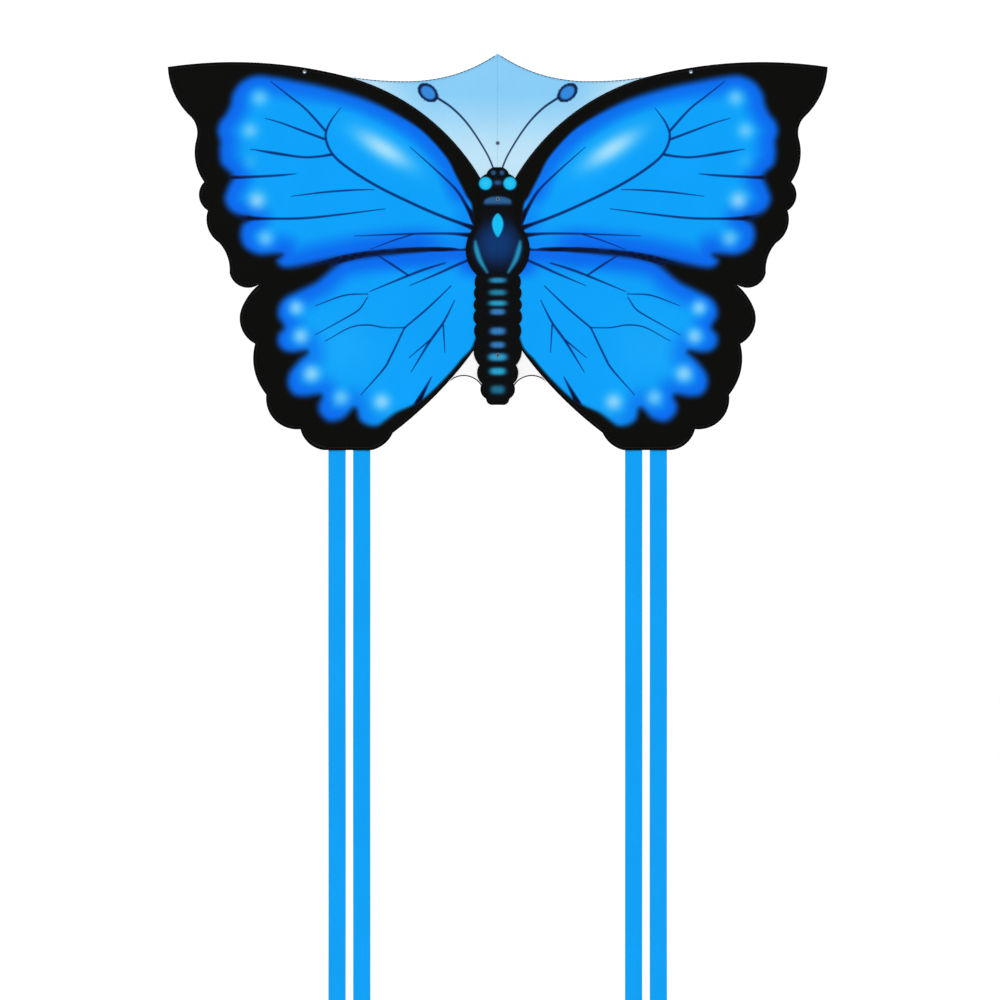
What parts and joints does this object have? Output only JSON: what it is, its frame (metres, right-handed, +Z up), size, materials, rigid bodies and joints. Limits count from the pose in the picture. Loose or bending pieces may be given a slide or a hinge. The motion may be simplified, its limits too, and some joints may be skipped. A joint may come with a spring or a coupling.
{
  "type": "butterfly kite",
  "caption": "Flat framed butterfly kite with printed blue wings, black scalloped edges, fibre spars, a folding centre hub and ribbon tails.",
  "frame": {"origin": "centre of the middle bridle eyelet, at the neck, on the middle plane of the sail cloth", "axes": "+X across the wings to the right seen from the front, +Y backwards away from the printed face, +Z up towards the nose"},
  "size_m": [1.298, 0.01, 1.9812],
  "materials": {
    "wing_cloth": "printed satin polyester",
    "clear_cloth": "thin pale blue polyester",
    "white_cloth": "thin white polyester",
    "strip_cloth": "black polyester tape",
    "body_cloth": "printed black polyester",
    "black_cloth": "black polyester",
    "ribbon_cloth": "plain azure ribbon",
    "glass_fibre": "black glass-fibre rod",
    "hub_plastic": "moulded nylon",
    "vinyl": "soft vinyl",
    "joiner_tube": "flexible vinyl tube",
    "brass": "rolled, with a gunmetal grey plating"
  },
  "bodies": {
    "spine": {"body_panel": "body_cloth", "centre_hub": "hub_plastic", "hub_stop_rings": "vinyl", "lower_eyelet": "brass", "middle_eyelet": "brass", "nose_cap": "vinyl", "nose_pocket": "black_cloth", "spine_loops": "black_cloth", "spine_patches": "black_cloth", "spine_rod": "glass_fibre", "spine_strip": "strip_cloth", "tail_cap": "vinyl", "tail_pocket": "black_cloth", "top_eyelet": "brass", "left_lower_joiner": "joiner_tube", "left_upper_joiner": "joiner_tube", "right_lower_joiner": "joiner_tube", "right_upper_joiner": "joiner_tube"},
    "left_wing": {"left_inner_sleeve": "black_cloth", "left_leading_spar": "glass_fibre", "left_lobe_cap": "vinyl", "left_lobe_pocket": "black_cloth", "left_lower_spar": "glass_fibre", "left_lower_spar_loops": "black_cloth", "left_outer_sleeve": "black_cloth", "left_ribbon_tabs": "black_cloth", "left_tail_panel": "white_cloth", "left_tip_cap": "vinyl", "left_tip_pocket": "black_cloth", "left_top_panel": "clear_cloth", "left_wing_eyelet": "brass", "left_wing_eyelet_patch": "black_cloth", "left_wing_sail": "wing_cloth"},
    "right_wing": {"right_inner_sleeve": "black_cloth", "right_leading_spar": "glass_fibre", "right_lobe_cap": "vinyl", "right_lobe_pocket": "black_cloth", "right_lower_spar": "glass_fibre", "right_lower_spar_loops": "black_cloth", "right_outer_sleeve": "black_cloth", "right_ribbon_tabs": "black_cloth", "right_tail_panel": "white_cloth", "right_tip_cap": "vinyl", "right_tip_pocket": "black_cloth", "right_top_panel": "clear_cloth", "right_wing_eyelet": "brass", "right_wing_eyelet_patch": "black_cloth", "right_wing_sail": "wing_cloth"},
    "left_inner_ribbon": {"left_inner_ribbon": "ribbon_cloth"},
    "left_outer_ribbon": {"left_outer_ribbon": "ribbon_cloth"},
    "right_inner_ribbon": {"right_inner_ribbon": "ribbon_cloth"},
    "right_outer_ribbon": {"right_outer_ribbon": "ribbon_cloth"}
  },
  "joints": [
    {"name": "left_wing_fold", "type": "hinge", "parent": "spine", "child": "left_wing", "pos_m": [-0.014, 0.0032, -0.05], "axis": [0, 0, -1], "range_deg": [0, 80], "stiffness_Nm_per_rad": 0.6, "deforming": ["left_upper_joiner", "left_lower_joiner"]},
    {"name": "left_inner_ribbon_swing", "type": "hinge", "parent": "left_wing", "child": "left_inner_ribbon", "pos_m": [-0.2675, 0, -0.4952], "axis": [-1, 0, 0], "range_deg": [-80, 80]},
    {"name": "left_outer_ribbon_swing", "type": "hinge", "parent": "left_wing", "child": "left_outer_ribbon", "pos_m": [-0.316, 0, -0.4952], "axis": [-1, 0, 0], "range_deg": [-80, 80]},
    {"name": "right_wing_fold", "type": "hinge", "parent": "spine", "child": "right_wing", "pos_m": [0.014, 0.0032, -0.05], "axis": [0, 0, 1], "range_deg": [0, 80], "stiffness_Nm_per_rad": 0.6, "deforming": ["right_upper_joiner", "right_lower_joiner"]},
    {"name": "right_inner_ribbon_swing", "type": "hinge", "parent": "right_wing", "child": "right_inner_ribbon", "pos_m": [0.2675, 0, -0.4952], "axis": [-1, 0, 0], "range_deg": [-80, 80]},
    {"name": "right_outer_ribbon_swing", "type": "hinge", "parent": "right_wing", "child": "right_outer_ribbon", "pos_m": [0.316, 0, -0.4952], "axis": [-1, 0, 0], "range_deg": [-80, 80]}
  ]
}
